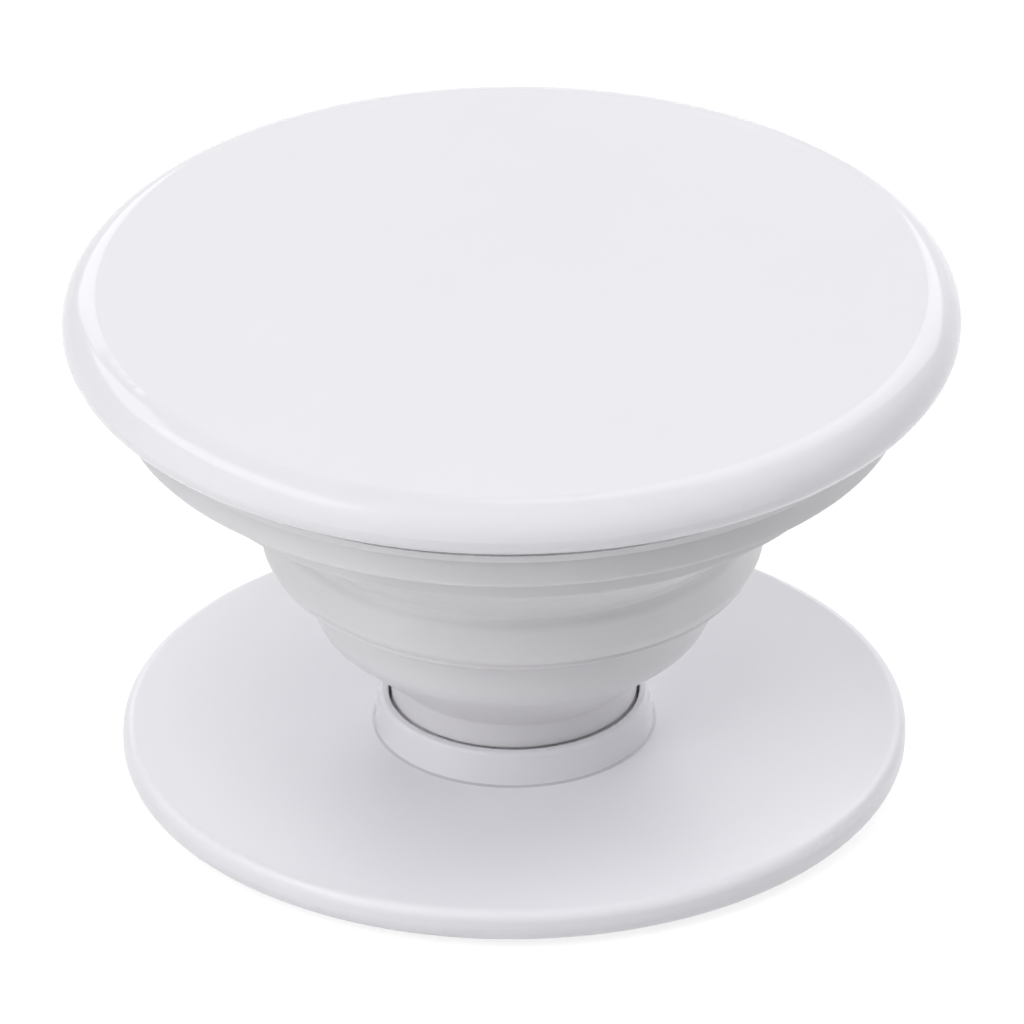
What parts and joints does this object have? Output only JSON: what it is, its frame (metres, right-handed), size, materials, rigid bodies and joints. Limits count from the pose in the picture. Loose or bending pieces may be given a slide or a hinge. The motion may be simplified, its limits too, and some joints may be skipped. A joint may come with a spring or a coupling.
{
  "type": "collapsible phone grip",
  "caption": "Round flat cap on a stepped folding bellows that swivels in the collar of a thin stick-on base plate; fingers hold a phone by the gap under the cap.",
  "frame": {"origin": "centre of the adhesive face that sticks to the phone", "axes": "+Z along the common axis, out of the phone towards the cap"},
  "size_m": [0.04, 0.04, 0.0237],
  "materials": {
    "cap_plastic": "polished white moulded plastic",
    "bellows_elastomer": "satin white elastomer",
    "hub_plastic": "plain white moulded plastic",
    "base_plastic": "polished white moulded plastic",
    "adhesive": "pale grey tacky foam"
  },
  "bodies": {
    "base": {"base_plate": "base_plastic", "adhesive_pad": "adhesive"},
    "stem": {"swivel_hub": "hub_plastic", "bellows": "bellows_elastomer"},
    "cap": {"cap": "cap_plastic"}
  },
  "joints": [
    {"name": "swivel", "type": "hinge", "parent": "base", "child": "stem", "pos_m": [0, 0, 0.00355], "axis": [0, 0, 1], "continuous": true},
    {"name": "collapse", "type": "slide", "parent": "stem", "child": "cap", "axis": [0, 0, 1], "range_m": [-0.016, 0], "deforming": ["bellows"]}
  ]
}
